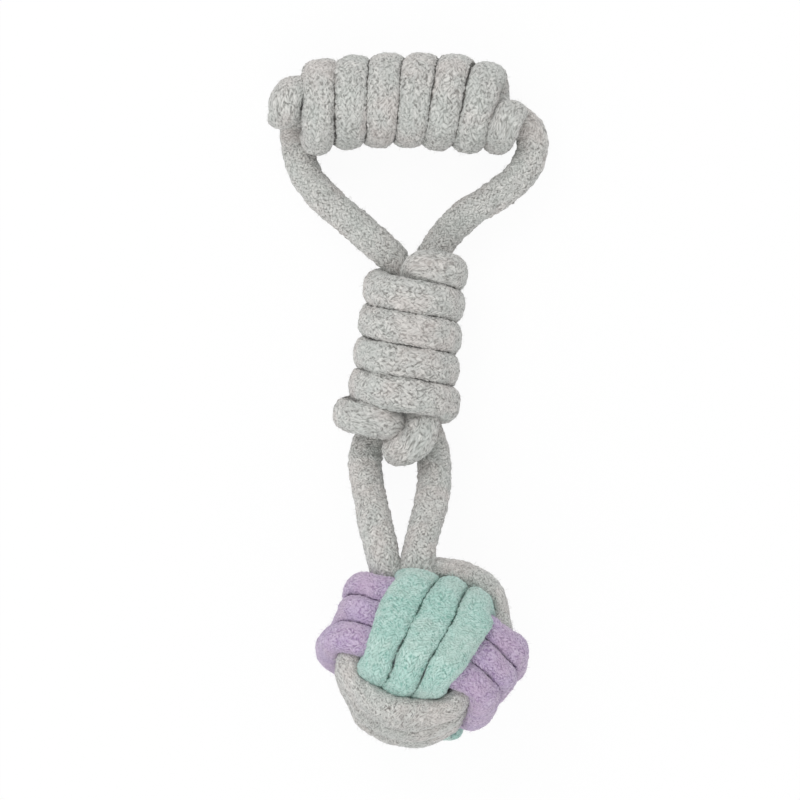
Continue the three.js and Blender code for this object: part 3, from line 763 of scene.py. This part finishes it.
def in_ball(points):
    """From the flat weave on a cube to the round ball, with its strands eased."""
    x, y, z = points.T
    square = OUTER**2

    def pull(a, b):
        a, b = a * a, b * b
        return np.sqrt(1 - ROUNDNESS * (a + b) / (2 * square) + ROUNDNESS * a * b / (3 * square**2))

    turned = np.stack([x * pull(y, z), y * pull(z, x), z * pull(x, y)], 1) @ BALL_AXES
    turned[:, 1] *= SQUEEZE
    placed = turned + [*BALL, BALL_HEIGHT]
    shift = np.zeros((len(placed), 2))
    for part in np.array_split(np.arange(len(placed)), max(1, len(placed) // EASE_BATCH)):
        offsets = placed[part, None, :2] - EASED[None, :, :2]
        weights = np.exp(-(offsets**2).sum(-1) / (2 * EASE_REACH**2))
        shift[part] = weights @ EASED[:, 2:] / (weights.sum(1, keepdims=True) + EASE_REST)
    placed[:, :2] += shift * smooth(EASE_FROM, EASE_FULL, turned[:, 2])[:, None]
    return placed


def pushed_in_ball(points):
    """The same for the mint rope, with its own pushes."""
    placed = in_ball(points)
    height = placed[:, 2] - BALL_HEIGHT
    for x, y, reach, aside, along, start, full in MINT_PUSHES:
        away = ((placed[:, 0] - x) ** 2 + (placed[:, 1] - y) ** 2) / reach**2
        share = np.exp(-away) * smooth(start, full, height)
        placed[:, 0] += share * aside
        placed[:, 1] += share * along
    return placed


def band_line(over, under, lane):
    """A rope in three turns round a cube, on the axes given by their numbers."""
    quarter = math.pi / 2
    edge = OVER - CORNER
    points, bends = [], []

    def add(high, low, offset, bend=0.0):
        point = [0.0, 0.0, 0.0]
        point[over], point[under], point[lane] = high, low, offset
        points.append(point)
        bends.append(bend)

    def corner(high_sign, low_sign, start, offset):
        for i in range(CORNER_STEPS + 1):
            angle = start - quarter * i / CORNER_STEPS
            add(
                high_sign * edge + CORNER * math.sin(angle),
                low_sign * (UNDER - CORNER) + CORNER * math.cos(angle),
                offset,
                math.sin(math.pi * i / CORNER_STEPS),
            )

    add(edge - BAND_TAIL, -UNDER, -LANE)
    for offset in (-LANE, 0.0, LANE):
        corner(1, -1, 2 * quarter, offset)
        corner(1, 1, quarter, offset)
        corner(-1, 1, 0, offset)
        corner(-1, -1, -quarter, offset)
    add(BAND_TAIL - edge, -UNDER, LANE)
    fine, _ = resample({"at": np.array(points), "bend": np.array(bends)})
    at = soften(fine["at"], CORNER_SOFTEN)
    across = np.zeros_like(at)
    across[:, lane] = 1
    # Full where it lies on top, and slimmer and rounder where it dives under its neighbours
    bend = soften(soften(fine["bend"], CORNER_SOFTEN), CORNER_SOFTEN)[:, None]
    full = np.array([STRAND_WIDTH, STRAND_THICK])
    # Painted seam shade on the sides that press the strands beside it, and none where it dives
    seam_shades = np.stack([smooth(-LANE, -LANE / 2, at[:, lane]), 1 - smooth(LANE / 2, LANE, at[:, lane])], 1)
    return {
        "at": at,
        "across": across,
        "half": mix(full, np.array([BEND_WIDTH, BEND_THICK]), bend) / 2,
        "press": mix(STRAND_PRESS, BEND_PRESS, bend[:, 0]),
        "seam_shades": seam_shades * (1 - bend),
    }


# Materials


def srgb(red, green, blue):
    values = np.array([red, green, blue]) / 255
    linear = np.where(values <= 0.04045, values / 12.92, ((values + 0.055) / 1.055) ** 2.4)
    return (*linear.tolist(), 1.0)


class Nodes:
    """A small helper that adds nodes to a material or the world and links them."""

    def __init__(self, owner):
        self.tree = owner.node_tree
        self.tree.nodes.clear()

    def add(self, kind, inputs=(), **settings):
        node = self.tree.nodes.new(kind)
        for key, value in settings.items():
            setattr(node, key, value)
        for key, value in dict(inputs).items():
            if isinstance(value, bpy.types.NodeSocket):
                self.tree.links.new(value, node.inputs[key])
            else:
                node.inputs[key].default_value = value
        return node

    def math(self, operation, a, b=0.0, c=0.0):
        values = {0: a, 1: b, 2: c}
        return self.add("ShaderNodeMath", values, operation=operation).outputs[0]

    def ramp(self, value, low, high, to_low=0.0, to_high=1.0):
        inputs = {"Value": value, "From Min": low, "From Max": high, "To Min": to_low, "To Max": to_high}
        return self.add("ShaderNodeMapRange", inputs).outputs["Result"]

    def mix(self, share, a, b):
        node = self.add("ShaderNodeMix", data_type="RGBA")
        for socket, value in ((node.inputs[0], share), (node.inputs[6], a), (node.inputs[7], b)):
            if isinstance(value, bpy.types.NodeSocket):
                self.tree.links.new(value, socket)
            else:
                socket.default_value = value
        return node.outputs[2]

    def noise(self, vector, scale, detail=2.0):
        inputs = {"Vector": vector, "Scale": scale, "Detail": detail}
        return self.add("ShaderNodeTexNoise", inputs).outputs[0]

    def plain_rays(self):
        """1 for the rays that show the background: the camera's own, reflected and refracted ones."""
        path = self.add("ShaderNodeLightPath").outputs
        mirrored = self.math("ADD", path["Is Glossy Ray"], path["Is Transmission Ray"])
        return self.math("MINIMUM", self.math("ADD", path["Is Camera Ray"], mirrored), 1.0)


def new_material(name):
    material = bpy.data.materials.new(name)
    material.use_nodes = True
    return material, Nodes(material)


# The rope's noises: each one's scale to a millimetre, the range of its values that shows, and the
# most that it changes the colour there, as a share
RAGGED_SCALE, RAGGED = 1.3, 0.5  # of the stitches' edges, in stitches each way
YARN_SCALE, YARN_RANGE, YARN_SHADE = 2.6, (0.36, 0.6), 0.25
SPECK_SCALE, SPECK_RANGE, SPECK_SHADE = 1.1, (0.5, 0.64), 0.85
DRIFT_SCALE = 0.085
HIGH_DRIFT, HIGH_TINT = (0.5, 0.66), 0.35
LOW_DRIFT, LOW_TINT = (0.5, 0.34), 0.3
# This noise breaks the gaps' painted shade here and there
GAP_SHADE_SCALE, GAP_SHADE_RANGE, GAP_SHADE_BREAKS = 0.8, (0.38, 0.6), (0.1, 1.1)
# This noise breaks the painted seam shade here and there
SEAM_SHADE_SCALE, SEAM_SHADE_RANGE, SEAM_SHADE_BREAKS = 0.7, (1.15, 1.6), 1.6
SEAM_SHADE_LEAST = 0.02  # under which no painted seam shade is drawn
# A stitch and the painted shade of the gap round it
STITCH_TONES = (0.14, 0.86)  # of one stitch and another, from body to light
BODY_SHADE = 0.08
GAP_SHADES = (0.05, 0.66)  # painted shade of one gap and another
GAP_SHADE_EDGE = 0.82  # of a stitch's bulge, up to which the gap's painted shade reaches
ACROSS_SWELL = 0.35  # the exponent of its swell across the column; lower is fuller
BULGE_SWELL = 0.6  # the exponent of its height
# Relief and gloss
YARN_RELIEF = 0.4  # of the yarn's noise, against a stitch's height
BUMP_STRENGTH, BUMP_HEIGHT = 0.55, 0.0005  # the height in metres
YARN_GLOSS_RANGE, ROUGHNESS = (0.3, 0.7), (0.86, 0.98)
SPECULAR = 0.15
SHEEN, SHEEN_ROUGHNESS = 0.4, 0.5


def rope_material(name, light, body, dark, painted_shade, high_tint, low_tint):
    """Braided cotton yarn in a few tones, from light yarn to the painted shade of its gaps and seams."""
    material, n = new_material(name)
    place = n.add("ShaderNodeSeparateXYZ", {0: n.add("ShaderNodeUVMap", uv_map="Rope").outputs[0]})
    along, column = place.outputs[0], place.outputs[1]
    # The straight rope's own space, in millimetres, so that no pattern has a seam
    angle = n.math("MULTIPLY", column, 2 * math.pi / COLUMNS)
    x = n.math("MULTIPLY", n.math("COSINE", angle), ROPE / 2)
    y = n.math("MULTIPLY", n.math("SINE", angle), ROPE / 2)
    space = n.add("ShaderNodeCombineXYZ", {0: x, 1: y, 2: along}).outputs[0]
    # Stitches, the same ones as in the mesh: slanted one way in even columns, the other in odd
    whole = n.math("FLOOR", column)
    across = n.math("SUBTRACT", column, whole)
    odd = n.math("FLOORED_MODULO", whole, 2.0)
    sign = n.math("MULTIPLY_ADD", odd, -2.0, 1.0)
    slant = n.math("MULTIPLY", n.math("MULTIPLY", across, sign), SLANT)
    run = n.math("ADD", n.math("DIVIDE", along, STITCH), slant)
    ragged = n.ramp(n.noise(space, RAGGED_SCALE, 3.0), 0.0, 1.0, -RAGGED, RAGGED)
    run = n.math("ADD", n.math("ADD", run, ragged), n.math("MULTIPLY", odd, 0.5))
    index = n.math("FLOOR", run)
    inner = n.math("SUBTRACT", run, index)
    over = n.math("SINE", n.math("MULTIPLY", inner, math.pi))
    beside = n.math("POWER", n.math("SINE", n.math("MULTIPLY", across, math.pi)), ACROSS_SWELL)
    bulge = n.math("MULTIPLY", over, beside)
    cell = n.add("ShaderNodeCombineXYZ", {0: whole, 1: index, 2: 0.0}).outputs[0]
    random = n.add("ShaderNodeTexWhiteNoise", {"Vector": cell}, noise_dimensions="3D").outputs
    chance = n.add("ShaderNodeSeparateColor", {0: random["Color"]}).outputs
    # Fibres in the yarn, dark specks between stitches, and the slow drift of tone along the rope
    fine = n.noise(space, YARN_SCALE, 4.0)
    specks = n.noise(space, SPECK_SCALE)
    drift = n.noise(space, DRIFT_SCALE)
    own = n.ramp(chance[0], 0.0, 1.0, *STITCH_TONES)
    colour = n.mix(own, n.mix(BODY_SHADE, body, dark), light)
    colour = n.mix(n.ramp(fine, *YARN_RANGE, YARN_SHADE, 0.0), colour, dark)
    colour = n.mix(n.ramp(specks, *SPECK_RANGE, 0.0, SPECK_SHADE), colour, dark)
    colour = n.mix(n.ramp(drift, *HIGH_DRIFT, 0.0, HIGH_TINT), colour, high_tint)
    colour = n.mix(n.ramp(drift, *LOW_DRIFT, 0.0, LOW_TINT), colour, low_tint)
    # Painted shade in the gaps between stitches, broken here and there
    gap_shade = n.ramp(chance[1], 0.0, 1.0, *GAP_SHADES)
    gap_shade = n.math("MULTIPLY", gap_shade, n.ramp(n.noise(space, GAP_SHADE_SCALE), *GAP_SHADE_RANGE, *GAP_SHADE_BREAKS))
    colour = n.mix(n.math("MULTIPLY", n.ramp(bulge, 0.0, GAP_SHADE_EDGE, 1.0, 0.0), gap_shade), colour, painted_shade)
    # Painted seam shade, the dark line where two turns press each other, and the fibres, which are plain
    seam_shade = n.add("ShaderNodeAttribute", attribute_name="seam_shade").outputs["Fac"]
    line = n.math("MULTIPLY_ADD", n.noise(space, SEAM_SHADE_SCALE), SEAM_SHADE_BREAKS, seam_shade)
    line = n.math("MULTIPLY", n.ramp(line, *SEAM_SHADE_RANGE), n.math("GREATER_THAN", seam_shade, SEAM_SHADE_LEAST))
    colour = n.mix(line, colour, painted_shade)
    hair = n.math("LESS_THAN", seam_shade, FIBRE_MARK / 2)
    colour = n.mix(hair, colour, n.mix(0.5, body, light))
    stitch_height = n.math("POWER", n.math("MAXIMUM", bulge, 0.0), BULGE_SWELL)
    height = n.math("MULTIPLY_ADD", fine, YARN_RELIEF, stitch_height)
    strength = n.ramp(hair, 0.0, 1.0, BUMP_STRENGTH, 0.0)
    relief = {"Height": height, "Strength": strength, "Distance": BUMP_HEIGHT}
    shader = n.add(
        "ShaderNodeBsdfPrincipled",
        {
            "Base Color": colour,
            "Roughness": n.ramp(fine, *YARN_GLOSS_RANGE, *ROUGHNESS),
            "Normal": n.add("ShaderNodeBump", relief).outputs[0],
            "Specular IOR Level": SPECULAR,
            "Sheen Weight": SHEEN,
            "Sheen Roughness": SHEEN_ROUGHNESS,
        },
    )
    n.add("ShaderNodeOutputMaterial", {"Surface": shader.outputs[0]})
    return material


# Each one's light, body and dark tones, its deep tone for the painted shade in gaps and seams, and its
# tints where the drift is high and low
GREY = rope_material(
    "grey_rope", srgb(230, 229, 225), srgb(205, 206, 203), srgb(127, 126, 122), srgb(76, 73, 68),
    srgb(215, 204, 200), srgb(196, 204, 199),
)
MINT = rope_material(
    "mint_rope", srgb(205, 232, 225), srgb(182, 217, 208), srgb(120, 170, 158), srgb(48, 98, 85),
    srgb(199, 213, 205), srgb(164, 207, 195),
)
LILAC = rope_material(
    "lilac_rope", srgb(216, 201, 223), srgb(195, 175, 205), srgb(139, 113, 154), srgb(92, 67, 107),
    srgb(201, 176, 200), srgb(186, 168, 208),
)
FILLING, n = new_material("filling")
dull = n.add("ShaderNodeBsdfDiffuse", {"Color": srgb(120, 118, 112)})
n.add("ShaderNodeOutputMaterial", {"Surface": dull.outputs[0]})

# Pieces


def finish_piece(piece, material, slot, *nodes):
    piece.data.materials.append(material)
    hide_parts(*nodes)


CORD_EXIT = 0.028  # from a free rope's parted end to where it leaves the knot, in metres

# A free rope's name, points, side of the knot, places where it is parted and comes out, turns of the
# grip that it runs through, diameter, other body, nodes and seed
free_ropes = [
    ("loop_rope_left", UPPER_LEFT, -1, (ABOVE, BORE_TOP), np.linspace(0.88, 3.45, 8), 12.8,
     "handle", ["upper_leg_left", "knot_core_left"], 3),
    ("loop_rope_right", UPPER_RIGHT, 1, (ABOVE, BORE_TOP), np.linspace(6.6, 3.55, 9), 12.3,
     "handle", ["upper_leg_right", "knot_core_right", "handle_core"], 4),
    ("short_rope_left", LOWER_LEFT, -1, (BELOW, BORE_BOTTOM), (), ROPE,
     "ball", ["lower_leg_left"], 5),
    ("short_rope_right", LOWER_RIGHT, 1, (BELOW, BORE_BOTTOM), (), ROPE,
     "ball", ["lower_leg_right"], 6),
]
for name, points, side, bore, turns, size, far_body, nodes, seed in free_ropes:
    line = free_line(points, side, bore, turns, size)
    piece, centre = rope_mesh(name, line, seed)
    finish_piece(piece, GREY, "grey_rope", *nodes)
    if far_body == "handle":
        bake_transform(piece)
    else:
        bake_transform(piece)
    nearest = centre[lengths(centre).searchsorted(CORD_EXIT)]

piece, _ = rope_mesh("grip_rope", grip_line(), seed=11, shape=bowed)
finish_piece(piece, GREY, "grey_rope", "handle_winding")
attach(piece, "handle")

piece, _ = rope_mesh("knot_rope", knot_line(), seed=12)
finish_piece(piece, GREY, "grey_rope", "knot_coil")
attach(piece, "knot")

piece, _ = rope_mesh("bight_rope", bight_line(), seed=13)
finish_piece(piece, GREY, "grey_rope", "knot_bight")
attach(piece, "knot")

ball_bands = [
    ("ball_rope_mint", (2, 0, 1), pushed_in_ball, MINT, "mint_rope", "ball_band_mint", 21),
    ("ball_rope_purple", (1, 2, 0), in_ball, LILAC, "lilac_rope", "ball_band_purple", 22),
    ("ball_rope_grey", (0, 1, 2), in_ball, GREY, "grey_rope", "ball_band_grey", 23),
]
for name, axes, shape, material, slot, node, seed in ball_bands:
    piece, _ = rope_mesh(name, band_line(*axes), seed, shape)
    finish_piece(piece, material, slot, node)
    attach(piece, "ball")

FILLING_RADIUS = UNDER - 2  # inside the lower bands

solid = bmesh.new()
bmesh.ops.create_icosphere(solid, subdivisions=4, radius=FILLING_RADIUS * MM)
filling_mesh = bpy.data.meshes.new("ball_filling")
solid.to_mesh(filling_mesh)
solid.free()
filling_mesh.transform(Matrix.Translation(ball_middle * MM) @ Matrix.Diagonal((1, SQUEEZE, 1, 1)))
ball_filling = add_object("ball_filling", filling_mesh)
finish_piece(ball_filling, FILLING, "filling", "ball_core")
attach(ball_filling, "ball")

# Stage and light, in metres

FLOOR_REACH = 6.0
FLOOR_TONE = 0.93  # of what lights the toy from below
FLOOR_WHITE = 0.94  # the share of plain white in what the camera sees; the rest keeps the shadow
WORLD_LIGHT = 0.79  # of what lights the toy from all round

corners = [(x * FLOOR_REACH, y * FLOOR_REACH, 0) for x, y in ((-1, -1), (1, -1), (1, 1), (-1, 1))]
floor_mesh = bpy.data.meshes.new("floor")
floor_mesh.from_pydata(corners, [], [(0, 1, 2, 3)])
floor = add_object("floor", floor_mesh)
floor_material, n = new_material("floor")
diffuse = n.add("ShaderNodeBsdfDiffuse", {"Color": (FLOOR_TONE, FLOOR_TONE, FLOOR_TONE, 1.0)})
white = n.add("ShaderNodeEmission", {"Color": (1.0, 1.0, 1.0, 1.0), "Strength": 1.0})
seen = n.math("MULTIPLY", n.plain_rays(), FLOOR_WHITE)
surface = n.add("ShaderNodeMixShader", {0: seen, 1: diffuse.outputs[0], 2: white.outputs[0]})
n.add("ShaderNodeOutputMaterial", {"Surface": surface.outputs[0]})
floor_mesh.materials.append(floor_material)

world = bpy.data.worlds.new("world")
bpy.context.scene.world = world
world.use_nodes = True
n = Nodes(world)
strength = n.ramp(n.plain_rays(), 0.0, 1.0, WORLD_LIGHT, 1.0)
background = n.add("ShaderNodeBackground", {"Color": (1.0, 1.0, 1.0, 1.0), "Strength": strength})
n.add("ShaderNodeOutputWorld", {"Surface": background.outputs[0]})


def area_light(name, place, size, power):
    data = bpy.data.lights.new(name, "AREA")
    data.shape = "DISK"
    data.size = size
    data.energy = power
    lamp = add_object(name, data)
    lamp.location = place
    lamp.rotation_mode = "QUATERNION"
    lamp.rotation_quaternion = Vector(place).to_track_quat("Z", "Y")


area_light("key", place=(-0.5, 0.9, 1.4), size=0.9, power=6.5)
area_light("fill", place=(-0.3, -1.0, 1.3), size=1.2, power=5.5)

bpy.context.scene.view_settings.view_transform = "Standard"
